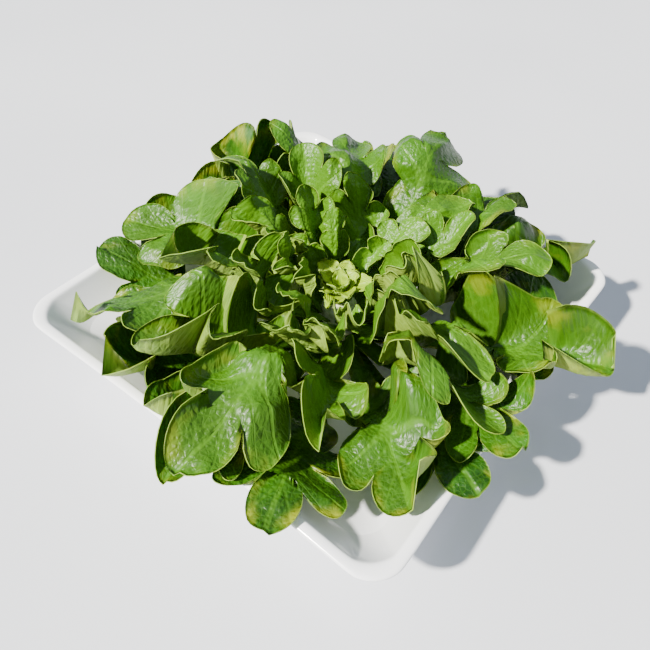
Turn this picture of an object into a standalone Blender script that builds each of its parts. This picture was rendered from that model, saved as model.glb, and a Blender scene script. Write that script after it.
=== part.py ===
"""A head of green oak-leaf lettuce lying in a square white porcelain dish.

The dish stands on the ground plane with its flat foot at the origin, its sides along X and Y and +Z up.
The head stands upright in it on its cut stem. Every leaf grows from the stem, and is laid on the dish and
on the leaves outside it, the way that they packed themselves while the head grew.
Units are metres and radians.
"""

import math
import random

import bmesh
import bpy
import numpy as np

# Driving sizes of the dish
DISH_SIDE = 0.220
DISH_HEIGHT = 0.038
FLOOR_SIDE = 0.126
FLOOR_THICKNESS = 0.0050
FOOT_SIDE = 0.118
FOOT_HEIGHT = 0.0025
RIM_WIDTH = 0.0055
RIM_CORNER_RADIUS = 0.017
SIDE_BOW = 0.0024

# Driving sizes of the head
HEAD_CENTRE = (0.006, 0.001)
LEAF_COUNT = 50
STEM_FOOT_RADIUS = 0.0135
STEM_TOP_RADIUS = 0.0090
STEM_TOP = 0.0340
LEAF_LENGTH = 0.1205
LEAF_HALF_WIDTH = 0.0265
BLADE_THICKNESS = 0.0008
RIB_THICKNESS = 0.0018
HEART_HEIGHT = 0.023
HEART_LEAFLETS = 11
BUD_RADIUS = 0.0066
TOUCH_GAP = 0.0003

# How the leaves spread, outermost first, and the turn from each leaf to the next
FIRST_TURN = math.radians(-29)
GOLDEN_TURN = math.radians(137.508)
LOWEST_ANGLE = math.radians(0)
HIGHEST_ANGLE = math.radians(66)
SEED = 8
HEART_SEED = 29

# Rows and columns of a leaf's mesh on each side of its rib
BLADE_COLUMNS = 2
STALK_ROWS = 3

# Share of the rows that make the leaf's stalk
PETIOLE_SHARE = 0.20


def fresh_scene():
    """Removes every object, so that the script gives the same model in any file."""
    for old in list(bpy.data.objects):
        bpy.data.objects.remove(old, do_unlink=True)


def finish_material(name, colour, roughness):
    """A Principled material in one colour."""
    material = bpy.data.materials.new(name)
    material.use_nodes = True
    shader = material.node_tree.nodes["Principled BSDF"]
    shader.inputs["Base Color"].default_value = (*colour, 1.0)
    shader.inputs["Roughness"].default_value = roughness
    return material


def named_object(name, mesh, material, parent=None):
    """Links a mesh into the scene as one plainly named piece."""
    piece = bpy.data.objects.new(name, mesh)
    piece.data.materials.append(material)
    bpy.context.scene.collection.objects.link(piece)
    piece.parent = parent
    return piece


# The dish


def rounded_square(side, corner_radius, bow, z):
    """Points of a square ring with round corners, its sides drawn in by bow at their middles."""
    corner_steps, side_steps = 4, 4
    half = side / 2
    points = []
    for corner in range(4):
        turn = corner * math.pi / 2
        for step in range(corner_steps + 1):
            angle = turn + step / corner_steps * math.pi / 2
            centre = half - corner_radius
            cx = centre * (math.cos(turn) - math.sin(turn))
            cy = centre * (math.sin(turn) + math.cos(turn))
            points.append((cx + corner_radius * math.cos(angle), cy + corner_radius * math.sin(angle), z))
        for step in range(1, side_steps):
            along = 1 - 2 * step / side_steps
            reach = along * (half - corner_radius)
            inset = half - bow * (1 - along * along)
            points.append(
                (
                    reach * math.cos(turn) - inset * math.sin(turn),
                    reach * math.sin(turn) + inset * math.cos(turn),
                    z,
                )
            )
    return points


def dish_rings():
    """The dish's outline from the foot, out over the rim, and in to the floor."""
    wall_run = (DISH_SIDE - FLOOR_SIDE) / 2
    mouth = DISH_SIDE - 2 * RIM_WIDTH
    lip = 0.0012
    return [
        rounded_square(FOOT_SIDE, 0.020, 0.0, 0.0),
        rounded_square(FOOT_SIDE, 0.020, 0.0, FOOT_HEIGHT),
        rounded_square(FLOOR_SIDE + 0.012, 0.022, 0.0006, FOOT_HEIGHT + 0.0015),
        rounded_square(DISH_SIDE - 0.9 * wall_run, 0.022, 0.0015, 0.52 * DISH_HEIGHT),
        rounded_square(DISH_SIDE - 0.003, RIM_CORNER_RADIUS, SIDE_BOW, DISH_HEIGHT - 0.0045),
        rounded_square(DISH_SIDE, RIM_CORNER_RADIUS, SIDE_BOW, DISH_HEIGHT - lip),
        rounded_square(DISH_SIDE - 2 * lip, RIM_CORNER_RADIUS - lip, SIDE_BOW, DISH_HEIGHT),
        rounded_square(mouth, RIM_CORNER_RADIUS - RIM_WIDTH + lip, SIDE_BOW, DISH_HEIGHT),
        rounded_square(mouth - 2 * lip, 0.0125, SIDE_BOW, DISH_HEIGHT - lip),
        rounded_square(FLOOR_SIDE + 0.55 * wall_run, 0.019, 0.0012, 0.36 * DISH_HEIGHT),
        rounded_square(FLOOR_SIDE, 0.021, 0.0, FLOOR_THICKNESS + 0.0012),
        rounded_square(FLOOR_SIDE - 0.014, 0.018, 0.0, FLOOR_THICKNESS),
    ]


def make_dish(material):
    """The dish is one lofted shell: each ring is walled to the next, and the foot and floor are closed."""
    shape = bmesh.new()
    rings = [[shape.verts.new(point) for point in ring] for ring in dish_rings()]
    for lower, upper in zip(rings, rings[1:]):
        for at, corner in enumerate(lower):
            shape.faces.new((lower[at - 1], corner, upper[at], upper[at - 1]))
    shape.faces.new(reversed(rings[0]))
    shape.faces.new(rings[-1])
    mesh = bpy.data.meshes.new("dish")
    shape.to_mesh(mesh)
    shape.free()
    mesh.shade_smooth()
    mesh.set_sharp_from_angle(angle=math.radians(50))
    return named_object("dish", mesh, material)


def dish_surface(x, y):
    """Height of the dish's upper surface under each point, and the rim's height beyond the rim."""
    power = 9
    across = (np.abs(x) ** power + np.abs(y) ** power) ** (1 / power)
    inner = DISH_SIDE / 2 - RIM_WIDTH - 0.002
    climb = np.clip((across - FLOOR_SIDE / 2 + 0.004) / (inner - FLOOR_SIDE / 2 + 0.004), 0, 1)
    return FLOOR_THICKNESS + (DISH_HEIGHT - FLOOR_THICKNESS) * climb


# The stem


def make_stem(material, parent):
    """The stem is turned: a short tapering stub, cut flat across below and rounded over above."""
    foot = FLOOR_THICKNESS + TOUCH_GAP
    profile = [
        (0.0, foot),
        (STEM_FOOT_RADIUS - 0.0010, foot),
        (STEM_FOOT_RADIUS, foot + 0.0010),
        (STEM_FOOT_RADIUS, foot + 0.0050),
        (STEM_TOP_RADIUS, STEM_TOP - 0.0030),
        (STEM_TOP_RADIUS - 0.0020, STEM_TOP - 0.0006),
        (0.0, STEM_TOP),
    ]
    shape = bmesh.new()
    corners = [shape.verts.new((r, 0, z)) for r, z in profile]
    edges = [shape.edges.new(pair) for pair in zip(corners, corners[1:])]
    bmesh.ops.spin(
        shape,
        geom=corners + edges,
        axis=(0, 0, 1),
        cent=(0, 0, 0),
        steps=20,
        angle=2 * math.pi,
        use_merge=True,
    )
    bmesh.ops.remove_doubles(shape, verts=shape.verts, dist=1e-6)
    bmesh.ops.recalc_face_normals(shape, faces=shape.faces)
    mesh = bpy.data.meshes.new("stem")
    shape.to_mesh(mesh)
    shape.free()
    mesh.shade_smooth()
    mesh.set_sharp_from_angle(angle=math.radians(50))
    return named_object("stem", mesh, material, parent)


# Where a leaf can be: a fan of rays from the stem

FAN_TURNS = 240
FAN_STEPS = 60
FAN_REACH = 0.150


def fan_root(angle):
    """Radius and height on the stem where the ray that rises at this angle starts."""
    share = np.clip((angle - LOWEST_ANGLE) / (HIGHEST_ANGLE - LOWEST_ANGLE), 0, 1)
    radius = STEM_FOOT_RADIUS + (STEM_TOP_RADIUS - STEM_FOOT_RADIUS) * share
    radius = radius + RIB_THICKNESS / 2 + 2 * TOUCH_GAP
    height = 0.0115 + (STEM_TOP - 0.0045 - 0.0115) * share
    return radius, height


def fan_point(turn, reach, angle):
    """The point that lies reach along the ray rising at angle, turned by turn about the head's axis."""
    radius, height = fan_root(angle)
    out = radius + reach * np.cos(angle)
    return np.stack([out * np.cos(turn), out * np.sin(turn), height + reach * np.sin(angle)], axis=-1)


def spread_up(field, cells_round, cells_out):
    """Each cell takes the highest value within so many cells of it, round the axis and outwards."""
    widest = field
    for step in range(-cells_round, cells_round + 1):
        widest = np.maximum(widest, np.roll(field, step, axis=0))
    highest = widest
    for step in range(1, cells_out + 1):
        highest[:, step:] = np.maximum(highest[:, step:], widest[:, :-step])
        highest[:, :-step] = np.maximum(highest[:, :-step], widest[:, step:])
    return highest


def eased(field):
    """Softens the steps of a field without lowering it."""
    soft = field.copy()
    for _ in range(3):
        padded = np.pad(soft, ((1, 1), (1, 1)), mode="edge")
        padded[0, 1:-1], padded[-1, 1:-1] = soft[-1], soft[0]
        soft = (padded[:-2, 1:-1] + padded[2:, 1:-1] + padded[1:-1, :-2] + padded[1:-1, 2:] + 2 * soft) / 6
    return np.maximum(field, soft)


def dish_bound():
    """The lowest angle at each turn and reach that clears the dish."""
    turns = np.arange(FAN_TURNS) * 2 * math.pi / FAN_TURNS
    reaches = np.arange(FAN_STEPS) * FAN_REACH / (FAN_STEPS - 1)
    turn, reach = np.meshgrid(turns, reaches, indexing="ij")
    bound = np.full(turn.shape, LOWEST_ANGLE - 0.3)
    clearance = 0.0020
    for angle in np.radians(np.arange(-16, 50, 0.5)):
        point = fan_point(turn, reach, angle)
        under = dish_surface(point[..., 0] + HEAD_CENTRE[0], point[..., 1] + HEAD_CENTRE[1]) + clearance
        bound = np.where(point[..., 2] < under, angle, bound)
    return spread_up(bound, 2, 2)


def looked_up(field, turn, reach):
    """The field's value between its cells."""
    column = (turn / (2 * math.pi) * FAN_TURNS) % FAN_TURNS
    row = np.clip(reach / FAN_REACH * (FAN_STEPS - 1), 0, FAN_STEPS - 1.001)
    c0, r0 = np.floor(column).astype(int), np.floor(row).astype(int)
    fc, fr = column - c0, row - r0
    c0, c1 = c0 % FAN_TURNS, (c0 + 1) % FAN_TURNS
    near = field[c0, r0] * (1 - fc) + field[c1, r0] * fc
    far = field[c0, r0 + 1] * (1 - fc) + field[c1, r0 + 1] * fc
    return near * (1 - fr) + far * fr


# One leaf


def leaf_habit(number, draw):
    """What makes each leaf its own: the outer ones are long, low and broad, the rest shorter and steeper."""
    age = number / (LEAF_COUNT - 1)
    rank = max(0, (age - 0.34) / 0.66)
    hooded = draw.random() < 0.16
    lobe_counts = (5, 7, 5, 7) if age < 0.45 else (3, 5, 5, 5)
    leaf = {
        "turn": FIRST_TURN + number * GOLDEN_TURN + draw.uniform(-1, 1) * (0.06 + 0.20 * age),
        "length": LEAF_LENGTH * (1 - 0.68 * rank) * draw.uniform(0.92 - 0.10 * age, 1.05),
        "half_width": LEAF_HALF_WIDTH * (1 - 0.48 * age**1.5) * draw.uniform(0.90, 1.12),
        "petiole": 0.0056 - 0.0018 * age,
        "root_angle": LOWEST_ANGLE + (HIGHEST_ANGLE - LOWEST_ANGLE) * age,
        "tip_angle": math.radians(12 + 43 * rank + draw.uniform(-1, 1) * (3 + 4 * age)),
        "lobes": draw.choice(lobe_counts) if age < 0.85 else 3,
        "notch": draw.uniform(0.34, 0.50),
        "cup": draw.uniform(0.30, 1.00) * draw.choice((1, 1, 1, -0.5)),
        "droop": -draw.uniform(0.15, 0.45) if hooded else draw.uniform(0.15, 0.45 + 0.7 * min(age * 3, 1)),
        "twist": draw.uniform(-1, 1) * (0.40 + 0.20 * age),
        "bend": draw.uniform(-1, 1) * (0.09 + 0.18 * age),
        "wave": draw.uniform(0.14, 0.42) * draw.choice((1, -1)),
        "phase": draw.uniform(0, 2 * math.pi),
    }
    if leaf["lobes"] == 3:
        leaf["half_width"] *= 0.78
    return leaf


def leaf_outline(leaf, v):
    """Where the vein that leaves the rib at v starts and ends, along and across, and its bearing.

    The blade is drawn about its own centre, as rounded lobes between notches, the first of them at its tip.
    """
    length = leaf["length"]
    along = np.clip((v - PETIOLE_SHARE) / (1 - PETIOLE_SHARE), 0, 1)
    bearing = math.radians(168) * (1 - along)
    bulge = np.abs(np.cos(leaf["lobes"] * bearing / 2)) ** 0.6
    reach = leaf["notch"] + (1 - leaf["notch"]) * bulge
    petiole = v <= PETIOLE_SHARE
    start = length * np.where(petiole, 0.34 * v / PETIOLE_SHARE, 0.34 + 0.50 * along**0.9)
    end = np.where(petiole, start, length * (0.68 + 0.32 * reach * np.cos(bearing)))
    blade = leaf["half_width"] * reach * np.sin(bearing) * (0.95 + 0.75 * np.cos(bearing / 2) ** 8)
    blade = np.maximum(blade, leaf["petiole"] * (1 - along))
    return start, end, np.where(petiole, leaf["petiole"], blade), bearing


def leaf_surface(leaf, floor_field, side, t, v):
    """Turn, reach and angle of the blade's points: t runs from rib to margin, and v from stem to tip."""
    start, end, breadth, bearing = leaf_outline(leaf, v)
    reach = start + t * (end - start)
    share = np.clip(reach / leaf["length"], 0, 1.1)
    rise = np.clip(share / 0.62, 0, 1)
    rise = rise * rise * (3 - 2 * rise)
    rib_angle = leaf["root_angle"] + (leaf["tip_angle"] - leaf["root_angle"]) * rise
    out = fan_root(rib_angle)[0] + reach * np.cos(rib_angle)
    turn = leaf["turn"] + side * t * breadth / (out + 0.004) + leaf["bend"] * share**2
    blade = np.clip((v - PETIOLE_SHARE * 0.6) / 0.3, 0, 1)
    tip = np.clip((share - 0.60) / 0.40, 0, 1.2)
    lift = blade * (
        leaf["cup"] * t**2
        + leaf["wave"] * t**1.5 * np.cos(leaf["lobes"] * bearing)
        + leaf["twist"] * side * t
        + 0.42 * t * np.sin(2.3 * bearing + leaf["phase"] + 1.7 * side)
    )
    lift = leaf["half_width"] * (lift - leaf["droop"] * tip**1.7)
    angle = rib_angle + lift / (reach + 0.018)
    return turn, reach, settled(angle, looked_up(floor_field, turn, reach))


def settled(angle, floor):
    """The angle, raised smoothly where the leaf would otherwise sink into what lies under it."""
    soft = math.radians(1.2)
    excess = (angle - floor) / soft
    return floor + soft * np.where(excess > 30, excess, np.log1p(np.exp(np.minimum(excess, 30))))


def leaf_rows(leaf, fineness):
    """Rows from the stem to the leaf's tip, with one on the crown of every lobe and one in every notch."""
    steps = fineness * (3 if leaf["lobes"] == 3 else 2)
    step = 180 / leaf["lobes"] / steps
    bearings = np.arange(math.floor(163 / step), -1, -1) * step
    stalk = np.linspace(0, PETIOLE_SHARE, STALK_ROWS * fineness + 1)
    return np.append(stalk, PETIOLE_SHARE + (1 - PETIOLE_SHARE) * (1 - bearings / 168))


def leaf_sheet(leaf, floor_field, columns, fineness):
    """The blade's middle sheet by column and row, from one margin over the rib to the other."""
    t = np.linspace(-1, 1, 2 * columns + 1)
    t, v = np.meshgrid(t, leaf_rows(leaf, fineness), indexing="ij")
    return leaf_surface(leaf, floor_field, np.where(t < 0, -1.0, 1.0), np.abs(t), v)


def between(grid, steps):
    """Values of a grid with so many steps in each of its cells."""
    share = np.linspace(0, 1, steps, endpoint=False)[:, None]
    long = grid[:-1, None] * (1 - share) + grid[1:, None] * share
    long = np.vstack([long.reshape(-1, grid.shape[1]), grid[-1:]])
    wide = long[:, :-1, None] * (1 - share[:, 0]) + long[:, 1:, None] * share[:, 0]
    return np.hstack([wide.reshape(long.shape[0], -1), long[:, -1:]])


def raised_facets(floor_field, turn, reach, angle):
    """Lifts the corners of the coarse facets until no facet dips into what lies under it."""
    steps = 4
    for _ in range(3):
        under = looked_up(floor_field, between(turn, steps), between(reach, steps))
        short = np.clip(under - between(angle, steps), 0, None)
        worst = np.zeros((angle.shape[0] + 1, angle.shape[1] + 1))
        for column in range(angle.shape[0] - 1):
            for row in range(angle.shape[1] - 1):
                cell = short[column * steps : (column + 1) * steps + 1, row * steps : (row + 1) * steps + 1]
                worst[column + 1, row + 1] = cell.max()
        near = np.maximum(worst[:-1, :-1], worst[1:, :-1])
        lift = np.maximum(near, np.maximum(worst[:-1, 1:], worst[1:, 1:]))
        lift[:, -1] = lift[:, -1].max()
        angle = angle + lift
    return turn, reach, angle


def add_leaf_to_fan(floor_field, turn, reach, angle):
    """Raises the fan's floor over a leaf, so that the next one is laid clear of it."""
    column = np.round(turn / (2 * math.pi) * FAN_TURNS).astype(int) % FAN_TURNS
    row = np.clip(np.round(reach / FAN_REACH * (FAN_STEPS - 1)), 0, FAN_STEPS - 1).astype(int)
    over = np.full(floor_field.shape, -9.0)
    np.maximum.at(over, (column, row), angle)
    covered = np.maximum(floor_field, spread_up(spread_up(over, 1, 1), 1, 1))
    reaches = np.arange(FAN_STEPS) * FAN_REACH / (FAN_STEPS - 1)
    arm = reaches + 0.018
    round_slope = np.roll(covered, -1, axis=0) - np.roll(covered, 1, axis=0)
    round_slope = round_slope * FAN_TURNS / (4 * math.pi)
    out_slope = np.gradient(covered, axis=1) * arm * (FAN_STEPS - 1) / FAN_REACH
    steep = np.sqrt(1 + np.minimum((round_slope * arm / (0.012 + 0.85 * reaches)) ** 2 + out_slope**2, 4))
    steep = 1 + (steep - 1) * np.clip((reaches - 0.010) / 0.020, 0, 1)
    thickness = BLADE_THICKNESS + (RIB_THICKNESS - BLADE_THICKNESS) * np.clip(1 - reaches / 0.04, 0, 1)
    return np.where(covered > floor_field, covered + (thickness + 0.0006) * steep / arm, floor_field)


def blade_mesh(name, points, flesh):
    """A mesh of a blade's middle sheet, folded shut along its tip, and how fleshy it is at each point."""
    columns, rows = points.shape[0] - 1, points.shape[1] - 1
    middle = columns // 2
    shape = bmesh.new()
    deform = shape.verts.layers.deform.verify()
    grid = {}
    for c in range(columns + 1):
        for r in range(rows + 1):
            if r == rows and c > middle:
                grid[c, r] = grid[columns - c, r]
                continue
            grid[c, r] = shape.verts.new(points[c, r])
            grid[c, r][deform][0] = flesh[c, r]
    for c in range(columns):
        for r in range(rows):
            a, b, d, e = grid[c, r], grid[c + 1, r], grid[c + 1, r + 1], grid[c, r + 1]
            # Each cell is split along its shorter diagonal, and at the tip along the one that ends apart
            shorter = (a.co - d.co).length < (b.co - e.co).length
            if r == rows - 1:
                shorter = c < middle
            for corners in ((a, b, d), (a, d, e)) if shorter else ((a, b, e), (b, d, e)):
                shape.faces.new(corners)
    mesh = bpy.data.meshes.new(name)
    shape.to_mesh(mesh)
    shape.free()
    return mesh


def thickened(piece):
    """Gives a blade its thickness, fleshy along the rib and thin at the margin."""
    piece.vertex_groups.new(name="flesh")
    wall = piece.modifiers.new("thickness", "SOLIDIFY")
    wall.thickness = RIB_THICKNESS
    wall.offset = 0
    wall.vertex_group = "flesh"
    wall.thickness_vertex_group = 0
    wall.use_even_offset = False


def blade_flesh(rows, columns):
    """Share of the rib's thickness at each point of a blade."""
    thin = BLADE_THICKNESS / RIB_THICKNESS
    t = np.abs(np.linspace(-1, 1, 2 * columns + 1))[:, None]
    v = rows[None, :]
    fleshy = (1 - t) ** 2 * (1 - v) ** 0.8 + np.clip(1 - v / 0.25, 0, 1) * 0.6
    return thin + (1 - thin) * np.clip(fleshy, 0, 1)


def make_leaves(material, parent):
    """Lays the leaves from the outermost in, each on the dish and on the leaves before it."""
    draw = random.Random(SEED)
    floor_field = dish_bound()
    for number in range(LEAF_COUNT):
        leaf = leaf_habit(number, draw)
        ground = eased(floor_field)
        sheet = raised_facets(ground, *leaf_sheet(leaf, ground, BLADE_COLUMNS, 1))
        flesh = blade_flesh(leaf_rows(leaf, 1), BLADE_COLUMNS)
        name = f"leaf_{number + 1:02d}"
        thickened(named_object(name, blade_mesh(name, fan_point(*sheet), flesh), material, parent))
        facets = [between(field, 6) for field in sheet]
        floor_field = add_leaf_to_fan(floor_field, *facets)
        floor_field = np.maximum(floor_field, add_leaf_to_fan(ground, *leaf_sheet(leaf, ground, 16, 5)))
    return floor_field


# The heart


def to_fan(points):
    """Turn, reach and angle of points given in the head's own frame."""
    turn = np.arctan2(points[..., 1], points[..., 0])
    out = np.hypot(points[..., 0], points[..., 1])
    angle = np.full(turn.shape, HIGHEST_ANGLE)
    for _ in range(12):
        radius, height = fan_root(angle)
        angle = 0.5 * angle + 0.5 * np.arctan2(points[..., 2] - height, out - radius)
    radius, height = fan_root(angle)
    return turn, np.hypot(points[..., 2] - height, out - radius), angle


def heart_leaflet(number, draw, floor_field):
    """Points of one small crinkled leaflet, leaning out from the top of the stem."""
    columns, rows = 2, 4
    share = (number + 0.5) / HEART_LEAFLETS
    turn = number * GOLDEN_TURN + draw.uniform(-0.3, 0.3)
    lean = math.radians(10 + 46 * share**0.7)
    length = HEART_HEIGHT * (0.60 + 0.40 * share) * draw.uniform(0.90, 1.1)
    width = length * draw.uniform(0.24, 0.32)
    phase = draw.uniform(0, 2 * math.pi)
    t, v = np.meshgrid(np.linspace(-1, 1, 2 * columns + 1), np.linspace(0, 1, rows + 1), indexing="ij")
    half = width * np.clip(v * 2.4, 0.30, 1) * (1 - 0.55 * np.clip(v - 0.75, 0, 1) * 4)
    across = t * half
    droop = lean * (0.6 + 0.6 * v)
    along = length * v * (1 - 0.12 * t * t * v)
    fold = 0.35 * t * t * half + 0.10 * width * v * np.sin(5 * v + 2 * t + phase)
    out = 0.0010 + along * np.sin(droop) - fold * np.cos(droop)
    height = STEM_TOP + 0.0040 + along * np.cos(droop) + fold * np.sin(droop)
    x = out * math.cos(turn) - across * math.sin(turn)
    y = out * math.sin(turn) + across * math.cos(turn)
    turns, reach, angle = to_fan(np.stack([x, y, height], axis=-1))
    clear = looked_up(floor_field, turns, reach) + 0.0026 / (reach + 0.018)
    return fan_point(turns, reach, settled(angle, clear))


def largest_island(shape):
    """Deletes the small scraps that a union can leave, and keeps the one closed body."""
    left, islands = set(shape.faces), []
    while left:
        island, front = [], [left.pop()]
        while front:
            face = front.pop()
            island.append(face)
            for edge in face.edges:
                for other in edge.link_faces:
                    if other in left:
                        left.remove(other)
                        front.append(other)
        islands.append(island)
    islands.sort(key=len)
    scraps = [face for island in islands[:-1] for face in island]
    bmesh.ops.delete(shape, geom=scraps, context="FACES")


def make_heart(material, parent, floor_field):
    """The heart's leaflets spring from one bud, and are fused with it into a single closed body."""
    draw = random.Random(HEART_SEED)
    shape = bmesh.new()
    bmesh.ops.create_icosphere(shape, subdivisions=2, radius=BUD_RADIUS)
    for corner in shape.verts:
        corner.co.z = corner.co.z * 0.7 + STEM_TOP + TOUCH_GAP + 0.7 * BUD_RADIUS
    bud_mesh = bpy.data.meshes.new("heart")
    shape.to_mesh(bud_mesh)
    shape.free()
    leaflets = bpy.data.collections.new("heart leaflets")
    bpy.context.scene.collection.children.link(leaflets)
    for number in range(HEART_LEAFLETS):
        points = heart_leaflet(number, draw, floor_field)
        flesh = np.full(points.shape[:2], 0.40)
        piece = bpy.data.objects.new("leaflet", blade_mesh("leaflet", points, flesh))
        leaflets.objects.link(piece)
        thickened(piece)
    bud = bpy.data.objects.new("heart", bud_mesh)
    bpy.context.scene.collection.objects.link(bud)
    fuse = bud.modifiers.new("fuse the leaflets", "BOOLEAN")
    fuse.operation = "UNION"
    fuse.operand_type = "COLLECTION"
    fuse.collection = leaflets
    fuse.solver = "MANIFOLD"
    fused = bpy.data.meshes.new_from_object(bud.evaluated_get(bpy.context.evaluated_depsgraph_get()))
    for piece in [*leaflets.objects, bud]:
        bpy.data.objects.remove(piece, do_unlink=True)
    bpy.data.collections.remove(leaflets)
    fused.name = "heart"
    fused.materials.clear()
    shape = bmesh.new()
    shape.from_mesh(fused)
    bmesh.ops.dissolve_degenerate(shape, edges=shape.edges, dist=1e-5)
    bmesh.ops.triangulate(shape, faces=shape.faces)
    largest_island(shape)
    shape.to_mesh(fused)
    shape.free()
    return named_object("heart", fused, material, parent)


def main():
    fresh_scene()
    porcelain = finish_material("porcelain", (0.86, 0.87, 0.88), 0.15)
    leaf_green = finish_material("leaf_green", (0.10, 0.30, 0.03), 0.45)
    heart_green = finish_material("heart_green", (0.42, 0.55, 0.10), 0.45)
    stem_white = finish_material("stem_white", (0.70, 0.74, 0.48), 0.55)
    make_dish(porcelain)
    head = bpy.data.objects.new("head", None)
    head.location = (*HEAD_CENTRE, 0)
    bpy.context.scene.collection.objects.link(head)
    make_stem(stem_white, head)
    floor_field = make_leaves(leaf_green, head)
    make_heart(heart_green, head, floor_field)


main()
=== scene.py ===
"""The looks of a head of green oak-leaf lettuce in a square white dish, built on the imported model's frame.

Metres and radians, +Z up, the dish's foot at the origin. The camera stands where the photograph's did.
"""

import math
import random

import bpy
import numpy as np
from mathutils import Matrix, Vector, noise


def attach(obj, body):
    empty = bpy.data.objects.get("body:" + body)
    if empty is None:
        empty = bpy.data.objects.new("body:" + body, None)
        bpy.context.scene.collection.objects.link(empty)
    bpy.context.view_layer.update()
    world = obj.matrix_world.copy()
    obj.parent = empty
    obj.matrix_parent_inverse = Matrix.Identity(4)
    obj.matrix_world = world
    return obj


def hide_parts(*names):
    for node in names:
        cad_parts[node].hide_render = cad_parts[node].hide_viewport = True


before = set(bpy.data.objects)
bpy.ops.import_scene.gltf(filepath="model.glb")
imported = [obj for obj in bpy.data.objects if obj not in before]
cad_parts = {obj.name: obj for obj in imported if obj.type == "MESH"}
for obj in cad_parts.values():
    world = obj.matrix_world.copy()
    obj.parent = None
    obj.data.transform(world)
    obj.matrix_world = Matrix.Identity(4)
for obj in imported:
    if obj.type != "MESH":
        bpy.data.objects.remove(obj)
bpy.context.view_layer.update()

# The dish: one pressed and fired piece of white porcelain under a clear, glossy glaze. Its walls slope in
# to a small foot, its sides bow in a little between round corners, and the glaze has drawn the rim soft.

DISH_SIDE = 0.220
DISH_HEIGHT = 0.038
FLOOR_SIDE = 0.126
FLOOR_THICKNESS = 0.0050
RIM_WIDTH = 0.0055
FOOT_SIDE = 0.118
FOOT_CORNER = 0.0092
SIDE_BOW = 0.0024
STRAIGHT_HALF = 0.093

# Side and height of each ring: up the outside, over the rim, down the inside and in across the floor
DISH_RINGS = (
    (FOOT_SIDE, 0.0),
    (FOOT_SIDE + 0.0006, 0.0004),
    (FOOT_SIDE + 0.0010, 0.0025),
    (FOOT_SIDE + 0.0120, 0.0040),
    (0.1777, 0.0198),
    (DISH_SIDE - 0.0035, 0.0336),
    (DISH_SIDE - 0.0002, 0.0365),
    (DISH_SIDE - 0.0016, 0.0379),
    (DISH_SIDE - 0.0060, DISH_HEIGHT),
    (DISH_SIDE - 0.0100, 0.0377),
    (DISH_SIDE - 0.0120, 0.0365),
    (0.2035, 0.0330),
    (0.1777, 0.0172),
    (0.1290, 0.0062),
    (0.1120, FLOOR_THICKNESS),
    (0.0600, FLOOR_THICKNESS),
)


def linear(code):
    """An sRGB hex colour as linear RGBA."""
    parts = [int(code[at : at + 2], 16) / 255 for at in (1, 3, 5)]
    return (*[c / 12.92 if c <= 0.04045 else ((c + 0.055) / 1.055) ** 2.4 for c in parts], 1.0)


def add(tree, kind, settings=None, output=None, **links):
    """Adds a node and gives back the output that is named, or else the first one that its settings leave on.

    settings holds its properties, and links its inputs, by name or as i0, i1 and so on. An input is a value,
    or another node's output.
    """
    node = tree.nodes.new(kind)
    for name, value in (settings or {}).items():
        setattr(node, name, value)
    for name, value in links.items():
        numbered = name[0] == "i" and name[1:].isdigit()
        socket = node.inputs[int(name[1:]) if numbered else name.replace("_", " ")]
        if isinstance(value, bpy.types.NodeSocket):
            tree.links.new(value, socket)
        else:
            socket.default_value = value
    return node.outputs[output] if output else next(socket for socket in node.outputs if socket.enabled)


def blank_material(name):
    """A material whose tree holds only its output and a Principled shader."""
    material = bpy.data.materials.new(name)
    material.use_nodes = True
    return material, material.node_tree, material.node_tree.nodes["Principled BSDF"]


SMOOTH = {"interpolation_type": "SMOOTHSTEP"}
COLOUR = {"data_type": "RGBA"}


def porcelain():
    material, tree, shader = blank_material("glazed white porcelain")
    place = add(tree, "ShaderNodeTexCoord", output="Object")
    # A tint that drifts over 7 cm keeps the white from looking like plastic
    cloud = add(tree, "ShaderNodeTexNoise", i0=place, Scale=14.0, Detail=2.0)
    share = add(tree, "ShaderNodeMapRange", SMOOTH, i0=cloud, i1=0.35, i2=0.65)
    tint = add(tree, "ShaderNodeMix", COLOUR, i0=share, i6=linear("#fcfcfd"), i7=linear("#f4f5f7"))
    tree.links.new(tint, shader.inputs["Base Color"])
    # Glaze flows into shallow ripples 17 mm long, which bend its reflections
    ripple = add(tree, "ShaderNodeTexNoise", i0=place, Scale=60.0, Detail=3.0)
    bump = add(tree, "ShaderNodeBump", Strength=0.12, Distance=0.0006, Height=ripple)
    tree.links.new(bump, shader.inputs["Normal"])
    roughness = add(tree, "ShaderNodeMapRange", SMOOTH, i0=cloud, i1=0.3, i2=0.7, i3=0.09, i4=0.17)
    tree.links.new(roughness, shader.inputs["Roughness"])
    shader.inputs["Coat Weight"].default_value = 0.35
    shader.inputs["Coat Roughness"].default_value = 0.05
    return material


def grow_ring(side_share, rise):
    """Extrudes the selected face upwards and scales its outline."""
    bpy.ops.mesh.extrude_region_move(TRANSFORM_OT_translate={"value": (0, 0, rise)})
    bpy.ops.transform.resize(value=(side_share, side_share, 1))


bpy.ops.object.select_all(action="DESELECT")
bpy.ops.mesh.primitive_plane_add(size=FOOT_SIDE, location=(0, 0, 0))
dish = bpy.context.object
dish.name = "dish_glazed"
bpy.ops.object.mode_set(mode="EDIT")
bpy.ops.mesh.select_all(action="SELECT")
bpy.ops.mesh.bevel(offset=FOOT_CORNER, segments=5, affect="VERTICES")
bpy.ops.mesh.select_all(action="SELECT")
for (side, height), (next_side, next_height) in zip(DISH_RINGS, DISH_RINGS[1:]):
    grow_ring(next_side / side, next_height - height)
bpy.ops.mesh.select_all(action="SELECT")
bpy.ops.mesh.normals_make_consistent(inside=False)
bpy.ops.object.mode_set(mode="OBJECT")
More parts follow.
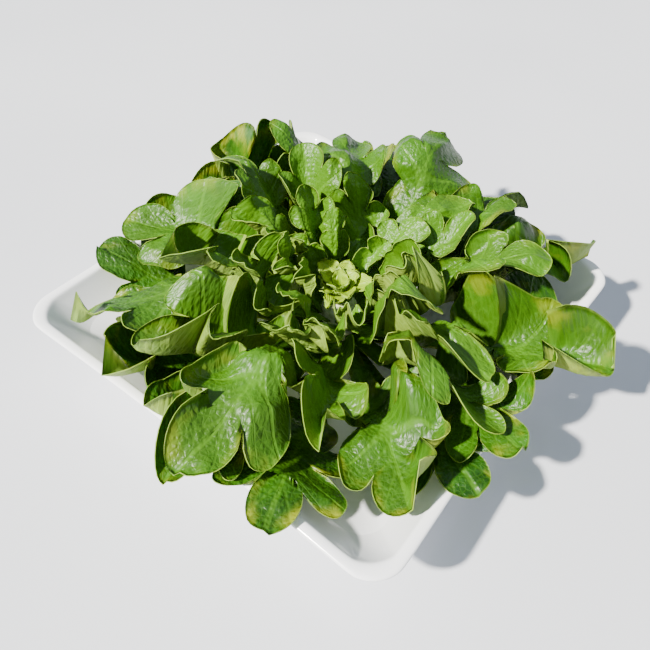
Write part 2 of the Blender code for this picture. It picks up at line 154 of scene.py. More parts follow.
# The fired edges are soft, and the fine mesh that this gives lets the walls bow
soften = dish.modifiers.new("soften", "SUBSURF")
soften.levels = soften.render_levels = 3
bpy.ops.object.modifier_apply(modifier=soften.name)
corners = np.zeros(len(dish.data.vertices) * 3)
dish.data.vertices.foreach_get("co", corners)
corners = corners.reshape(-1, 3)
for axis, other in ((0, 1), (1, 0)):
    from_middle = np.clip(np.abs(corners[:, other]) / STRAIGHT_HALF, 0, 1)
    up_wall = np.clip(np.abs(corners[:, axis]) / (DISH_SIDE / 2), 0, 1) ** 3
    corners[:, axis] -= np.sign(corners[:, axis]) * SIDE_BOW * (1 - from_middle**2) * up_wall
dish.data.vertices.foreach_set("co", corners.ravel())
dish.data.shade_smooth()
dish.data.materials.append(porcelain())
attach(dish, "root")
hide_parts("dish")


# The stem: the pale, moist stub that the head was cut from, tapering up to the bud. It shows only as a
# glimpse between the stalks, so it keeps the model's mesh and takes just its own material.


def cut_stem():
    material, tree, shader = blank_material("moist cut lettuce stem")
    place = add(tree, "ShaderNodeTexCoord", output="Object")
    # Fibres, drawn 2.4 mm coarse so that they show, run through it, and milky sap dries darker on them
    fibre = add(tree, "ShaderNodeTexNoise", i0=place, Scale=420.0, Detail=4.0)
    share = add(tree, "ShaderNodeMapRange", SMOOTH, i0=fibre, i1=0.35, i2=0.7)
    sap = add(tree, "ShaderNodeMix", COLOUR, i0=share, i6=linear("#dfe3bd"), i7=linear("#b9c583"))
    tree.links.new(sap, shader.inputs["Base Color"])
    bump = add(tree, "ShaderNodeBump", Strength=0.3, Distance=0.0004, Height=fibre)
    tree.links.new(bump, shader.inputs["Normal"])
    shader.inputs["Roughness"].default_value = 0.45
    shader.inputs["Subsurface Weight"].default_value = 0.2
    shader.inputs["Subsurface Radius"].default_value = (0.003, 0.003, 0.001)
    return material


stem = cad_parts["stem"]
stem.data.materials.clear()
stem.data.materials.append(cut_stem())


# The leaves: thin, glossy blades with round lobes, cupped and blistered between their veins, each on a
# fleshy stalk. They are laid by the rule that the model uses, outermost first, each clear of the ones
# outside it, so that every fine leaf has its model leaf's place and form.

HEAD_CENTRE = (0.006, 0.001)
HEAD_SHIFT = np.array([*HEAD_CENTRE, 0.0])
LEAF_COUNT = 50
STEM_FOOT_RADIUS = 0.0135
STEM_TOP_RADIUS = 0.0090
STEM_TOP = 0.0340
LOWEST_ROOT = 0.0115
HIGHEST_ROOT = STEM_TOP - 0.0045
LEAF_LENGTH = 0.1205
LEAF_HALF_WIDTH = 0.0265
BLADE_THICKNESS = 0.0008
RIB_THICKNESS = 0.0018
MARGIN_THICKNESS = 0.0007
TOUCH_GAP = 0.0003
FIRST_TURN = math.radians(-29)
GOLDEN_TURN = math.radians(137.508)
LOWEST_ANGLE = math.radians(0)
HIGHEST_ANGLE = math.radians(66)
SEED = 8
BLADE_COLUMNS = 2
STALK_ROWS = 3
FACET_STEPS = 6
SMOOTH_COLUMNS = 16
FINE_COLUMNS = 12
FINE_ROWS = 5
PETIOLE_SHARE = 0.20
FIRST_VEIN = 0.34
BLADE_CENTRE = 0.68
LAST_BEARING = 168
LAST_ROW_BEARING = 163
PUCKERS_PER_METRE = 95
PUCKER_HEIGHT = 0.00090
FRILL_HEIGHT = 0.0018
FAN_TURNS = 240
FAN_STEPS = 60
FAN_REACH = 0.150

# A lift in metres turns a ray of the fan by that lift over its reach and this arm
LIFT_ARM = 0.018


def dish_surface(x, y):
    """Height of the dish's upper surface under each point, and the rim's height beyond the rim."""
    squareness = 9
    across = (np.abs(x) ** squareness + np.abs(y) ** squareness) ** (1 / squareness)
    inner = DISH_SIDE / 2 - RIM_WIDTH - 0.002
    foot_of_wall = FLOOR_SIDE / 2 - 0.004
    climb = np.clip((across - foot_of_wall) / (inner - foot_of_wall), 0, 1)
    return FLOOR_THICKNESS + (DISH_HEIGHT - FLOOR_THICKNESS) * climb


def fan_root(angle):
    """Radius and height on the stem where the ray that rises at this angle starts."""
    share = np.clip((angle - LOWEST_ANGLE) / (HIGHEST_ANGLE - LOWEST_ANGLE), 0, 1)
    radius = STEM_FOOT_RADIUS + (STEM_TOP_RADIUS - STEM_FOOT_RADIUS) * share
    radius = radius + RIB_THICKNESS / 2 + 2 * TOUCH_GAP
    height = LOWEST_ROOT + (HIGHEST_ROOT - LOWEST_ROOT) * share
    return radius, height


def fan_point(turn, reach, angle):
    """The point that lies reach along the ray rising at angle, turned by turn about the head's axis."""
    radius, height = fan_root(angle)
    out = radius + reach * np.cos(angle)
    return np.stack([out * np.cos(turn), out * np.sin(turn), height + reach * np.sin(angle)], axis=-1)


def spread_up(field, cells_round, cells_out):
    """Each cell takes the highest value within so many cells of it, round the axis and outwards."""
    widest = field
    for step in range(-cells_round, cells_round + 1):
        widest = np.maximum(widest, np.roll(field, step, axis=0))
    highest = widest
    for step in range(1, cells_out + 1):
        highest[:, step:] = np.maximum(highest[:, step:], widest[:, :-step])
        highest[:, :-step] = np.maximum(highest[:, :-step], widest[:, step:])
    return highest


def eased(field):
    """Softens the steps of a field without lowering it."""
    soft = field.copy()
    for _ in range(3):
        padded = np.pad(soft, ((1, 1), (1, 1)), mode="edge")
        padded[0, 1:-1], padded[-1, 1:-1] = soft[-1], soft[0]
        soft = (padded[:-2, 1:-1] + padded[2:, 1:-1] + padded[1:-1, :-2] + padded[1:-1, 2:] + 2 * soft) / 6
    return np.maximum(field, soft)


def dish_bound():
    """The lowest angle at each turn and reach that clears the dish."""
    turns = np.arange(FAN_TURNS) * 2 * math.pi / FAN_TURNS
    reaches = np.arange(FAN_STEPS) * FAN_REACH / (FAN_STEPS - 1)
    turn, reach = np.meshgrid(turns, reaches, indexing="ij")
    bound = np.full(turn.shape, LOWEST_ANGLE - 0.3)
    clearance = 0.0020
    for angle in np.radians(np.arange(-16, 50, 0.5)):
        point = fan_point(turn, reach, angle)
        under = dish_surface(point[..., 0] + HEAD_CENTRE[0], point[..., 1] + HEAD_CENTRE[1]) + clearance
        bound = np.where(point[..., 2] < under, angle, bound)
    return spread_up(bound, 2, 2)


def looked_up(field, turn, reach):
    """The field's value between its cells."""
    column = (turn / (2 * math.pi) * FAN_TURNS) % FAN_TURNS
    row = np.clip(reach / FAN_REACH * (FAN_STEPS - 1), 0, FAN_STEPS - 1.001)
    c0, r0 = np.floor(column).astype(int), np.floor(row).astype(int)
    fc, fr = column - c0, row - r0
    c0, c1 = c0 % FAN_TURNS, (c0 + 1) % FAN_TURNS
    near = field[c0, r0] * (1 - fc) + field[c1, r0] * fc
    far = field[c0, r0 + 1] * (1 - fc) + field[c1, r0 + 1] * fc
    return near * (1 - fr) + far * fr


def leaf_habit(number, draw):
    """What makes each leaf its own: the outer ones are long, low and broad, the rest shorter and steeper."""
    age = number / (LEAF_COUNT - 1)
    rank = max(0, (age - 0.34) / 0.66)
    hooded = draw.random() < 0.16
    lobe_counts = (5, 7, 5, 7) if age < 0.45 else (3, 5, 5, 5)
    leaf = {
        "turn": FIRST_TURN + number * GOLDEN_TURN + draw.uniform(-1, 1) * (0.06 + 0.20 * age),
        "length": LEAF_LENGTH * (1 - 0.68 * rank) * draw.uniform(0.92 - 0.10 * age, 1.05),
        "half_width": LEAF_HALF_WIDTH * (1 - 0.48 * age**1.5) * draw.uniform(0.90, 1.12),
        "petiole": 0.0056 - 0.0018 * age,
        "root_angle": LOWEST_ANGLE + (HIGHEST_ANGLE - LOWEST_ANGLE) * age,
        "tip_angle": math.radians(12 + 43 * rank + draw.uniform(-1, 1) * (3 + 4 * age)),
        "lobes": draw.choice(lobe_counts) if age < 0.85 else 3,
        "notch": draw.uniform(0.34, 0.50),
        "cup": draw.uniform(0.30, 1.00) * draw.choice((1, 1, 1, -0.5)),
        "droop": -draw.uniform(0.15, 0.45) if hooded else draw.uniform(0.15, 0.45 + 0.7 * min(age * 3, 1)),
        "twist": draw.uniform(-1, 1) * (0.40 + 0.20 * age),
        "bend": draw.uniform(-1, 1) * (0.09 + 0.18 * age),
        "wave": draw.uniform(0.14, 0.42) * draw.choice((1, -1)),
        "phase": draw.uniform(0, 2 * math.pi),
    }
    if leaf["lobes"] == 3:
        leaf["half_width"] *= 0.78
    return leaf


def leaf_outline(leaf, v):
    """Where the vein that leaves the rib at v starts and ends, along and across, and its bearing.

    The blade is drawn about its own centre, as rounded lobes between notches, the first of them at its tip.
    """
    length = leaf["length"]
    along = np.clip((v - PETIOLE_SHARE) / (1 - PETIOLE_SHARE), 0, 1)
    bearing = math.radians(LAST_BEARING) * (1 - along)
    bulge = np.abs(np.cos(leaf["lobes"] * bearing / 2)) ** 0.6
    reach = leaf["notch"] + (1 - leaf["notch"]) * bulge
    petiole = v <= PETIOLE_SHARE
    start = length * np.where(petiole, FIRST_VEIN * v / PETIOLE_SHARE, FIRST_VEIN + 0.50 * along**0.9)
    end = length * (BLADE_CENTRE + (1 - BLADE_CENTRE) * reach * np.cos(bearing))
    end = np.where(petiole, start, end)
    blade = leaf["half_width"] * reach * np.sin(bearing) * (0.95 + 0.75 * np.cos(bearing / 2) ** 8)
    blade = np.maximum(blade, leaf["petiole"] * (1 - along))
    return start, end, np.where(petiole, leaf["petiole"], blade), bearing


def leaf_surface(leaf, floor_field, side, t, v):
    """Turn, reach and angle of the blade's points: t runs from rib to margin, and v from stem to tip."""
    start, end, breadth, bearing = leaf_outline(leaf, v)
    reach = start + t * (end - start)
    share = np.clip(reach / leaf["length"], 0, 1.1)
    rise = np.clip(share / 0.62, 0, 1)
    rise = rise * rise * (3 - 2 * rise)
    rib_angle = leaf["root_angle"] + (leaf["tip_angle"] - leaf["root_angle"]) * rise
    out = fan_root(rib_angle)[0] + reach * np.cos(rib_angle)
    turn = leaf["turn"] + side * t * breadth / (out + 0.004) + leaf["bend"] * share**2
    blade = np.clip((v - PETIOLE_SHARE * 0.6) / 0.3, 0, 1)
    tip = np.clip((share - 0.60) / 0.40, 0, 1.2)
    lift = blade * (
        leaf["cup"] * t**2
        + leaf["wave"] * t**1.5 * np.cos(leaf["lobes"] * bearing)
        + leaf["twist"] * side * t
        + 0.42 * t * np.sin(2.3 * bearing + leaf["phase"] + 1.7 * side)
    )
    lift = leaf["half_width"] * (lift - leaf["droop"] * tip**1.7)
    angle = rib_angle + lift / (reach + LIFT_ARM)
    return turn, reach, settled(angle, looked_up(floor_field, turn, reach))


def settled(angle, floor):
    """The angle, raised smoothly where the leaf would otherwise sink into what lies under it."""
    soft = math.radians(1.2)
    excess = (angle - floor) / soft
    return floor + soft * np.where(excess > 30, excess, np.log1p(np.exp(np.minimum(excess, 30))))


def leaf_rows(leaf, fineness):
    """Rows from the stem to the leaf's tip, with one on the crown of every lobe and one in every notch."""
    steps = fineness * (3 if leaf["lobes"] == 3 else 2)
    step = 180 / leaf["lobes"] / steps
    bearings = np.arange(math.floor(LAST_ROW_BEARING / step), -1, -1) * step
    stalk = np.linspace(0, PETIOLE_SHARE, STALK_ROWS * fineness + 1)
    return np.append(stalk, PETIOLE_SHARE + (1 - PETIOLE_SHARE) * (1 - bearings / LAST_BEARING))


def leaf_sheet(leaf, floor_field, columns, fineness):
    """The blade's middle sheet by column and row, from one margin over the rib to the other."""
    t = np.linspace(-1, 1, 2 * columns + 1)
    t, v = np.meshgrid(t, leaf_rows(leaf, fineness), indexing="ij")
    return leaf_surface(leaf, floor_field, np.where(t < 0, -1.0, 1.0), np.abs(t), v)


def between(grid, steps):
    """Values of a grid with so many steps in each of its cells."""
    share = np.linspace(0, 1, steps, endpoint=False)[:, None]
    long = grid[:-1, None] * (1 - share) + grid[1:, None] * share
    long = np.vstack([long.reshape(-1, grid.shape[1]), grid[-1:]])
    wide = long[:, :-1, None] * (1 - share[:, 0]) + long[:, 1:, None] * share[:, 0]
    return np.hstack([wide.reshape(long.shape[0], -1), long[:, -1:]])


def raised_facets(floor_field, turn, reach, angle):
    """Lifts the corners of the coarse facets until no facet dips into what lies under it."""
    steps = 4
    for _ in range(3):
        under = looked_up(floor_field, between(turn, steps), between(reach, steps))
        short = np.clip(under - between(angle, steps), 0, None)
        worst = np.zeros((angle.shape[0] + 1, angle.shape[1] + 1))
        for column in range(angle.shape[0] - 1):
            for row in range(angle.shape[1] - 1):
                cell = short[column * steps : (column + 1) * steps + 1, row * steps : (row + 1) * steps + 1]
                worst[column + 1, row + 1] = cell.max()
        near = np.maximum(worst[:-1, :-1], worst[1:, :-1])
        lift = np.maximum(near, np.maximum(worst[:-1, 1:], worst[1:, 1:]))
        lift[:, -1] = lift[:, -1].max()
        angle = angle + lift
    return turn, reach, angle


def add_leaf_to_fan(floor_field, turn, reach, angle):
    """Raises the fan's floor over a leaf, so that the next one is laid clear of it."""
    column = np.round(turn / (2 * math.pi) * FAN_TURNS).astype(int) % FAN_TURNS
    row = np.clip(np.round(reach / FAN_REACH * (FAN_STEPS - 1)), 0, FAN_STEPS - 1).astype(int)
    over = np.full(floor_field.shape, -9.0)
    np.maximum.at(over, (column, row), angle)
    covered = np.maximum(floor_field, spread_up(spread_up(over, 1, 1), 1, 1))
    reaches = np.arange(FAN_STEPS) * FAN_REACH / (FAN_STEPS - 1)
    arm = reaches + LIFT_ARM
    round_slope = np.roll(covered, -1, axis=0) - np.roll(covered, 1, axis=0)
    round_slope = round_slope * FAN_TURNS / (4 * math.pi)
    out_slope = np.gradient(covered, axis=1) * arm * (FAN_STEPS - 1) / FAN_REACH
    steep = np.sqrt(1 + np.minimum((round_slope * arm / (0.012 + 0.85 * reaches)) ** 2 + out_slope**2, 4))
    steep = 1 + (steep - 1) * np.clip((reaches - 0.010) / 0.020, 0, 1)
    thickness = BLADE_THICKNESS + (RIB_THICKNESS - BLADE_THICKNESS) * np.clip(1 - reaches / 0.04, 0, 1)
    clearance = 0.0006
    return np.where(covered > floor_field, covered + (thickness + clearance) * steep / arm, floor_field)


MULTIPLY = {"operation": "MULTIPLY"}
MULTIPLY_ADD = {"operation": "MULTIPLY_ADD"}
LARGER = {"operation": "MAXIMUM"}
FOLD = {"operation": "PINGPONG"}
NET_CELLS_PER_METRE = 400.0
BLISTERS_PER_METRE = 520.0
GRAINS_PER_METRE = 1400.0


def leaf_tissue(name, light):
    """Leaf tissue. light is how far its greens are on the way to the yellow-green of the heart."""
    material, tree, shader = blank_material(name)
    edge, under, youth, lobe, across, spread = [
        add(tree, "ShaderNodeAttribute", {"attribute_name": label}, output="Fac")
        for label in ("edge_mm", "under", "youth", "lobe", "across_mm", "spread_mm")
    ]
    flat = add(tree, "ShaderNodeTexCoord", output="UV")
    place = add(tree, "ShaderNodeTexCoord", output="Object")
    # The blade's green drifts over 26 mm, and young leaves are lighter
    drift = add(tree, "ShaderNodeTexNoise", i0=place, Scale=38.0, Detail=3.0)
    share = add(tree, "ShaderNodeMapRange", SMOOTH, i0=drift, i1=0.35, i2=0.68)
    green = add(tree, "ShaderNodeMix", COLOUR, i0=share, i6=linear("#103202"), i7=linear("#235304"))
    share = add(tree, "ShaderNodeMath", MULTIPLY, i0=youth, i1=0.75)
    green = add(tree, "ShaderNodeMix", COLOUR, i0=share, i6=green, i7=linear("#578609"))
    green = add(tree, "ShaderNodeMix", COLOUR, i0=light, i6=green, i7=linear("#9cb60f"))
    # Below, the blade is pale and dull, with air under its skin
    share = add(tree, "ShaderNodeMapRange", SMOOTH, i0=drift, i1=0.35, i2=0.65)
    pale = add(tree, "ShaderNodeMix", COLOUR, i0=share, i6=linear("#56741c"), i7=linear("#788f2c"))
    skin = add(tree, "ShaderNodeMix", COLOUR, i0=under, i6=green, i7=pale)
    # One vein runs out along every lobe, with thinner ones between and a net of cells 2.5 mm wide
    fold = add(tree, "ShaderNodeMath", FOLD, i0=lobe, i1=0.5)
    aside = add(tree, "ShaderNodeMath", MULTIPLY, i0=fold, i1=spread)
    branch = add(tree, "ShaderNodeMapRange", SMOOTH, i0=aside, i1=0.20, i2=0.75, i3=1.0, i4=0.0)
    fold = add(tree, "ShaderNodeMath", FOLD, i0=lobe, i1=0.125)
    aside = add(tree, "ShaderNodeMath", MULTIPLY, i0=fold, i1=spread)
    twig = add(tree, "ShaderNodeMapRange", SMOOTH, i0=aside, i1=0.08, i2=0.40, i3=0.50, i4=0.0)
    rib = add(tree, "ShaderNodeMapRange", SMOOTH, i0=across, i1=0.5, i2=1.5, i3=1.0, i4=0.0)
    cell = add(
        tree, "ShaderNodeTexVoronoi", {"feature": "DISTANCE_TO_EDGE"}, Vector=flat, Scale=NET_CELLS_PER_METRE
    )
    net = add(tree, "ShaderNodeMapRange", SMOOTH, i0=cell, i1=0.02, i2=0.16, i3=0.30, i4=0.0)
    veins = branch
    for finer in (twig, rib, net):
        veins = add(tree, "ShaderNodeMath", LARGER, i0=veins, i1=finer)
    share = add(tree, "ShaderNodeMapRange", SMOOTH, i0=under, i3=0.30, i4=0.70)
    seen = add(tree, "ShaderNodeMath", MULTIPLY, i0=veins, i1=share)
    vein_green = add(tree, "ShaderNodeMix", COLOUR, i0=under, i6=linear("#5d901c"), i7=linear("#8cac48"))
    skin = add(tree, "ShaderNodeMix", COLOUR, i0=seen, i6=skin, i7=vein_green)
    # The oldest leaves yellow and brown along their margins, in patches of 18 mm
    age = add(tree, "ShaderNodeMapRange", SMOOTH, i0=youth, i1=0.0, i2=0.7, i3=1.0, i4=0.0)
    near_edge = add(tree, "ShaderNodeMapRange", SMOOTH, i0=edge, i1=0.5, i2=9.0, i3=1.0, i4=0.0)
    old = add(tree, "ShaderNodeMath", MULTIPLY, i0=age, i1=near_edge)
    cloud = add(tree, "ShaderNodeTexNoise", i0=place, Scale=55.0, Detail=4.0)
    patch = add(tree, "ShaderNodeMapRange", SMOOTH, i0=cloud, i1=0.48, i2=0.64, i4=0.7)
    worn = add(tree, "ShaderNodeMath", MULTIPLY, i0=old, i1=patch)
    skin = add(tree, "ShaderNodeMix", COLOUR, i0=worn, i6=skin, i7=linear("#8e9414"))
    # A thin pale line is painted along the margin, within 0.6 mm of it
    line = add(tree, "ShaderNodeMapRange", SMOOTH, i0=edge, i1=0.15, i2=0.60, i3=0.40, i4=0.0)
    skin = add(tree, "ShaderNodeMix", COLOUR, i0=line, i6=skin, i7=linear("#8aa63e"))
    tree.links.new(skin, shader.inputs["Base Color"])
    # Wax makes the upper face shine, and the lower one scatters
    roughness = add(tree, "ShaderNodeMapRange", SMOOTH, i0=under, i3=0.40, i4=0.62)
    tree.links.new(roughness, shader.inputs["Roughness"])
    # The tissue swells in blisters 1.9 mm wide, the veins lie sunk between them, and skin cells give a grain,
    # drawn 0.7 mm coarse so that it shows
    blister = add(
        tree,
        "ShaderNodeTexVoronoi",
        {"feature": "SMOOTH_F1"},
        Vector=flat,
        Scale=BLISTERS_PER_METRE,
        Smoothness=0.7,
    )
    grain = add(tree, "ShaderNodeTexNoise", i0=flat, Scale=GRAINS_PER_METRE, Detail=2.0)
    swell = add(tree, "ShaderNodeMath", MULTIPLY, i0=blister, i1=-1.0)
    relief = add(tree, "ShaderNodeMath", MULTIPLY_ADD, i0=veins, i1=-0.5, i2=swell)
    relief = add(tree, "ShaderNodeMath", MULTIPLY_ADD, i0=grain, i1=0.12, i2=relief)
    bump = add(tree, "ShaderNodeBump", Strength=0.60, Distance=0.0009, Height=relief)
    tree.links.new(bump, shader.inputs["Normal"])
    shader.inputs["Subsurface Weight"].default_value = 0.10
    shader.inputs["Subsurface Radius"].default_value = (0.0012, 0.0022, 0.0004)
    shader.inputs["Subsurface Scale"].default_value = 1.0
    shader.inputs["Specular IOR Level"].default_value = 0.35
    return material


def unit(vectors):
    """The vectors, each made one long."""
    return vectors / np.maximum(np.linalg.norm(vectors, axis=-1, keepdims=True), 1e-12)


def closed_blade(name, points, up, thickness, facts, flat):
    """A closed blade from its middle sheet: an upper and a lower skin, joined round the margin.

    points and up hold the sheet and the way its upper face looks, thickness and the facts one value a point.
    """
    columns, rows = points.shape[0] - 1, points.shape[1] - 1
    along = np.gradient(points, axis=1)
    crosswise = np.gradient(points, axis=0)
    normal = unit(np.cross(along, crosswise))
    normal *= np.sign(np.sum(normal * up, axis=-1, keepdims=True) + 1e-9)
    # The last row's two halves are one edge, from the tip in to the rib, and are welded
    normal[:, -1] = unit(normal[:, -1] + normal[::-1, -1])
    number = np.arange(points.shape[0] * points.shape[1]).reshape(points.shape[:2])
    half = columns // 2
    number[half + 1 :, -1] = number[:half, -1][::-1]
    offset = normal * thickness[..., None] / 2
    count = number.size
    corners = np.concatenate([(points + offset).reshape(-1, 3), (points - offset).reshape(-1, 3)])
    a, b, c, d = number[:-1, :-1], number[1:, :-1], number[1:, 1:], number[:-1, 1:]
    quads = np.stack([a, b, c, d], axis=-1).reshape(-1, 4)
    middle = points[half, rows // 2]
    turned = np.dot(
        np.cross(points[half + 1, rows // 2] - middle, points[half, rows // 2 + 1] - middle),
        normal[half, rows // 2],
    )
    if turned < 0:
        quads = quads[:, ::-1]
    rim = np.concatenate([number[0, :], number[-1, ::-1][1:], number[::-1, 0][1:]])
    walls = np.stack([rim[:-1], rim[1:], rim[1:] + count, rim[:-1] + count], axis=-1)
    if turned > 0:
        walls = walls[:, ::-1]
    faces = [*quads.tolist(), *(quads[:, ::-1] + count).tolist(), *walls.tolist()]
    mesh = bpy.data.meshes.new(name)
    mesh.from_pydata(corners.tolist(), [], faces)
    for label, values in facts.items():
        layer = mesh.attributes.new(label, "FLOAT", "POINT")
        both = np.concatenate([values.ravel(), values.ravel()])
        if label == "under":
            both[count:] = 1.0
        layer.data.foreach_set("value", both.astype(np.float32))
    uv = mesh.uv_layers.new(name="flat")
    loops = np.zeros(len(mesh.loops), int)
    mesh.loops.foreach_get("vertex_index", loops)
    spread = np.concatenate([flat.reshape(-1, 2), flat.reshape(-1, 2)])
    uv.data.foreach_set("uv", spread[loops].astype(np.float32).ravel())
    mesh.update()
    blade = bpy.data.objects.new(name, mesh)
    bpy.context.scene.collection.objects.link(blade)
    # The welded tip leaves unused points behind
    bpy.ops.object.select_all(action="DESELECT")
    bpy.context.view_layer.objects.active = blade
    blade.select_set(True)
    bpy.ops.object.mode_set(mode="EDIT")
    bpy.ops.mesh.select_all(action="SELECT")
    bpy.ops.mesh.delete_loose(use_verts=True, use_edges=False, use_faces=False)
    bpy.ops.object.mode_set(mode="OBJECT")
    mesh.shade_smooth()
    return blade


def fine_leaf(number, leaf, ground, youth):
    """The leaf's blade at full detail: frilled a little along its margin and puckered between its veins."""
    t = np.linspace(-1, 1, 2 * FINE_COLUMNS + 1)
    t = np.sign(t) * np.abs(t) ** 0.85
    t, v = np.meshgrid(t, leaf_rows(leaf, FINE_ROWS), indexing="ij")
    side, t = np.where(t < 0, -1.0, 1.0), np.abs(t)
    turn, reach, angle = leaf_surface(leaf, ground, side, t, v)
    start, end, breadth, bearing = leaf_outline(leaf, v)
    flat = np.stack([start + t * (end - start), side * t * breadth], axis=-1)
    vein = np.hypot(end - start, breadth)
    blade = np.clip((v - PETIOLE_SHARE) / 0.15, 0, 1)
    pucker = np.zeros(t.shape)
    for at in np.ndindex(t.shape):
        along, aside = flat[at] * PUCKERS_PER_METRE
        # Each leaf reads the noise at a place of its own
        spot = Vector((along + 7.3 * number, aside, number * 1.7))
        pucker[at] = noise.noise(spot) + 0.5 * noise.noise(spot * 2.1)
    frill = np.sin(9 * bearing + leaf["phase"] + 2 * side) * t**4
    lift = blade * (PUCKER_HEIGHT * pucker * (0.4 + 0.6 * t) + FRILL_HEIGHT * frill)
    angle = angle + np.maximum(lift, -TOUCH_GAP) / (reach + LIFT_ARM)
    points = fan_point(turn, reach, angle) + HEAD_SHIFT
    up = fan_point(turn, reach, angle + 0.01) - fan_point(turn, reach, angle)
    rib = np.clip((1 - t) ** 3 * (1 - v) + 0.6 * (1 - v / 0.25), 0, 1)
    thickness = MARGIN_THICKNESS + (RIB_THICKNESS - MARGIN_THICKNESS) * rib
    thickness = thickness * (1 - 0.35 * np.clip((t - 0.8) / 0.2, 0, 1))
    facts = {
        "edge_mm": (1 - t) * vein * 1000 + np.where(v < PETIOLE_SHARE, 4.0, 0.0),
        "under": np.zeros(t.shape),
        "youth": np.full(t.shape, youth),
        "lobe": leaf["lobes"] * bearing / (2 * math.pi),
        "across_mm": t * breadth * 1000 * (0.45 + 0.9 * v),
        "spread_mm": t * vein * 1000 * 2 * math.pi / leaf["lobes"],
    }
    return closed_blade(f"fine_leaf_{number + 1:02d}", points, up, thickness, facts, flat + number * 0.37)


draw = random.Random(SEED)
tissue = leaf_tissue("waxy green lettuce leaf", 0.0)
fan_floor = dish_bound()
for number in range(LEAF_COUNT):
    leaf = leaf_habit(number, draw)
    ground = eased(fan_floor)
    sheet = raised_facets(ground, *leaf_sheet(leaf, ground, BLADE_COLUMNS, 1))
    facets = [between(field, FACET_STEPS) for field in sheet]
    fan_floor = add_leaf_to_fan(fan_floor, *facets)
    smooth_sheet = leaf_sheet(leaf, ground, SMOOTH_COLUMNS, FINE_ROWS)
    fan_floor = np.maximum(fan_floor, add_leaf_to_fan(ground, *smooth_sheet))
    piece = fine_leaf(number, leaf, ground, number / (LEAF_COUNT - 1))
    piece.data.materials.append(tissue)
    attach(piece, "root")
    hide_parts(f"leaf_{number + 1:02d}")


# The heart: a bud and the small crinkled leaflets round it, grown as one, in the yellow-green of leaves that
# have hardly seen light. Every leaflet has the place and form of the model's, with a finer crinkle.

HEART_HEIGHT = 0.023
HEART_LEAFLETS = 11
LEAFLET_OUT = 0.0010
LEAFLET_UP = 0.0040
CRINKLE_HEIGHT = 0.0007
BUD_RADIUS = 0.0066
BUD_SQUASH = 0.7
PLEAT_HEIGHT = 0.0006
HEART_SEED = 29


def to_fan(points):
    """Turn, reach and angle of points given in the head's own frame, found by closing in on the angle."""
    turn = np.arctan2(points[..., 1], points[..., 0])
    out = np.hypot(points[..., 0], points[..., 1])
    angle = np.full(turn.shape, HIGHEST_ANGLE)
    for _ in range(12):
        radius, height = fan_root(angle)
        angle = 0.5 * angle + 0.5 * np.arctan2(points[..., 2] - height, out - radius)
    radius, height = fan_root(angle)
    return turn, np.hypot(points[..., 2] - height, out - radius), angle


def fine_leaflet(number, draw, floor_field):
    """One small leaflet that leans out from the top of the stem, laid as the model's is."""
    columns, rows = 7, 18
    share = (number + 0.5) / HEART_LEAFLETS
    turn = number * GOLDEN_TURN + draw.uniform(-0.3, 0.3)
    lean = math.radians(10 + 46 * share**0.7)
    length = HEART_HEIGHT * (0.60 + 0.40 * share) * draw.uniform(0.90, 1.1)
    width = length * draw.uniform(0.24, 0.32)
    phase = draw.uniform(0, 2 * math.pi)
    t, v = np.meshgrid(np.linspace(-1, 1, 2 * columns + 1), np.linspace(0, 1, rows + 1), indexing="ij")
    half = width * np.clip(v * 2.4, 0.30, 1) * (1 - 0.55 * np.clip(v - 0.75, 0, 1) * 4)
    across = t * half
    droop = lean * (0.6 + 0.6 * v)
    along = length * v * (1 - 0.12 * t * t * v)
    fold = 0.35 * t * t * half + 0.10 * width * v * np.sin(5 * v + 2 * t + phase)
    fold = fold + CRINKLE_HEIGHT * v * np.abs(t) * np.sin(26 * v + phase) * np.sign(t)
    out = LEAFLET_OUT + along * np.sin(droop) - fold * np.cos(droop)
    height = STEM_TOP + LEAFLET_UP + along * np.cos(droop) + fold * np.sin(droop)
    x = out * math.cos(turn) - across * math.sin(turn)
    y = out * math.sin(turn) + across * math.cos(turn)
    turns, reach, angle = to_fan(np.stack([x, y, height], axis=-1))
    clear = looked_up(floor_field, turns, reach) + 0.0026 / (reach + LIFT_ARM)
    angle = settled(angle, clear)
    facts = {
        "edge_mm": (1 - np.abs(t)) * half * 1000,
        "under": np.zeros(t.shape),
        "youth": np.full(t.shape, 1.0),
        "lobe": v * 2.5 + np.abs(t),
        "across_mm": np.abs(across) * 1000,
        "spread_mm": half * 1000,
    }
    up = fan_point(turns, reach, angle + 0.01) - fan_point(turns, reach, angle)
    flat = np.stack([along, across], axis=-1) + number * 0.21
    points = fan_point(turns, reach, angle) + HEAD_SHIFT
    thickness = BLADE_THICKNESS - 0.0003 * v
    return closed_blade(f"leaflet_{number}", points, up, thickness, facts, flat)


draw = random.Random(HEART_SEED)
leaflets = [fine_leaflet(number, draw, fan_floor) for number in range(HEART_LEAFLETS)]
bpy.ops.object.select_all(action="DESELECT")
bud_middle = (*HEAD_CENTRE, STEM_TOP + TOUCH_GAP + BUD_SQUASH * BUD_RADIUS)
bpy.ops.mesh.primitive_uv_sphere_add(
    segments=32, ring_count=20, radius=BUD_RADIUS, location=bud_middle, scale=(1, 1, BUD_SQUASH)
)
bpy.ops.object.transform_apply(location=True, rotation=True, scale=True)
fine_heart = bpy.context.object
fine_heart.name = "fine_heart"
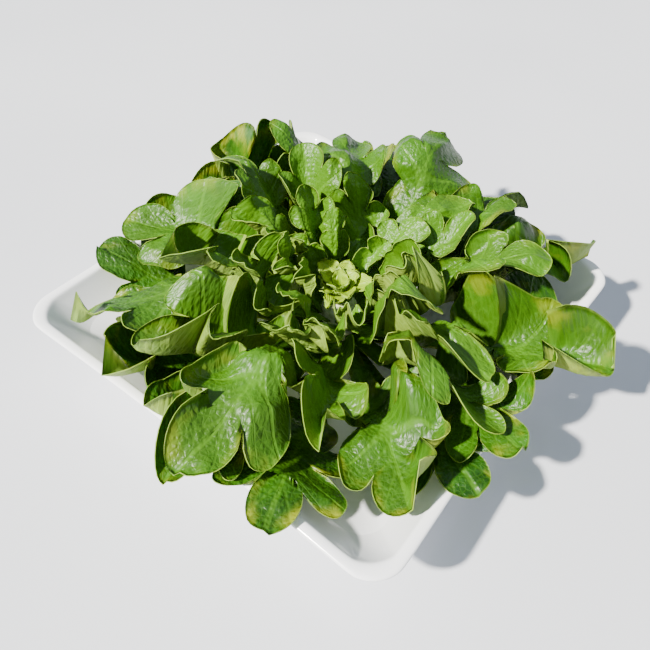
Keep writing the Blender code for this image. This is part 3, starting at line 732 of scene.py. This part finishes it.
# Nine pleats show where the bud's own leaves wrap over each other
for corner in fine_heart.data.vertices:
    x, y = corner.co.x - HEAD_CENTRE[0], corner.co.y - HEAD_CENTRE[1]
    from_axis = math.hypot(x, y) / BUD_RADIUS
    corner.co.z += PLEAT_HEIGHT * math.sin(9 * math.atan2(y, x)) * from_axis * (1 - from_axis**4)
fine_heart.data.shade_smooth()
youth = fine_heart.data.attributes.new("youth", "FLOAT", "POINT")
youth.data.foreach_set("value", np.ones(len(fine_heart.data.vertices), np.float32))
away = fine_heart.data.attributes.new("edge_mm", "FLOAT", "POINT")
away.data.foreach_set("value", np.full(len(fine_heart.data.vertices), 3.0, np.float32))
for leaflet in leaflets:
    leaflet.select_set(True)
bpy.context.view_layer.objects.active = fine_heart
fine_heart.select_set(True)
bpy.ops.object.join()
fine_heart.data.materials.clear()
fine_heart.data.materials.append(leaf_tissue("young lettuce heart", 0.75))
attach(fine_heart, "root")
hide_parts("heart")


# The table top and the light. The top is pale, smooth lacquer, which mirrors the dish faintly. The sun stands
# at the front left, and a wide, pale blue sky fills its shadows.


def table_top():
    material, tree, shader = blank_material("pale lacquered table")
    place = add(tree, "ShaderNodeTexCoord", output="Object")
    # The lacquer's tone drifts over a third of a metre, and its low roughness gives the mirroring
    cloud = add(tree, "ShaderNodeTexNoise", i0=place, Scale=3.0, Detail=2.0)
    share = add(tree, "ShaderNodeMapRange", SMOOTH, i0=cloud, i1=0.3, i2=0.7)
    tint = add(tree, "ShaderNodeMix", COLOUR, i0=share, i6=linear("#ced0d6"), i7=linear("#d6d8dd"))
    tree.links.new(tint, shader.inputs["Base Color"])
    shader.inputs["Roughness"].default_value = 0.14
    return material


TABLE_SIDE = 6
SUN_DIRECTION = Vector((-0.29, -0.67, 0.69))

bpy.ops.mesh.primitive_plane_add(size=TABLE_SIDE, location=(0, 0, 0))
floor = bpy.context.object
floor.name = "table_top"
floor.data.materials.append(table_top())

# Some five times as wide as the real sun, so that the edges of its shadows are soft
sun_data = bpy.data.lights.new("sun", "SUN")
sun_data.energy = 15.0
sun_data.angle = 0.05
sun_data.color = (1.0, 0.96, 0.89)
sun = bpy.data.objects.new("sun", sun_data)
sun.rotation_euler = SUN_DIRECTION.to_track_quat("Z", "Y").to_euler()
bpy.context.scene.collection.objects.link(sun)

world = bpy.data.worlds.new("sky")
world.use_nodes = True
world.node_tree.nodes["Background"].inputs["Color"].default_value = (0.74, 0.86, 1.0, 1.0)
world.node_tree.nodes["Background"].inputs["Strength"].default_value = 0.64
bpy.context.scene.world = world


# The camera: a sensor 36 mm wide behind a lens of 35.7 mm, where the photograph's stood. Its place and turn
# were worked out from the dish's rim, which is a square in plan.

TARGET = Vector((0.0127, -0.0201, 0.038))
AZIMUTH = math.radians(36.82)
ELEVATION = math.radians(49.05)
ROLL = math.radians(1.96)
DISTANCE = 0.31599

back = Vector(
    (math.sin(AZIMUTH) * math.cos(ELEVATION), -math.cos(AZIMUTH) * math.cos(ELEVATION), math.sin(ELEVATION))
)
level = Vector((math.cos(AZIMUTH), math.sin(AZIMUTH), 0))
right = level * math.cos(ROLL) + back.cross(level) * math.sin(ROLL)
upward = back.cross(right)
lens = bpy.data.cameras.new("camera")
lens.lens = 35.74
lens.sensor_width = 36.0
lens.clip_start = 0.01
camera = bpy.data.objects.new("camera", lens)
bpy.context.scene.collection.objects.link(camera)
eye = TARGET + back * DISTANCE
camera.matrix_world = Matrix(
    (
        (right.x, upward.x, back.x, eye.x),
        (right.y, upward.y, back.y, eye.y),
        (right.z, upward.z, back.z, eye.z),
        (0, 0, 0, 1),
    )
)
bpy.context.scene.camera = camera
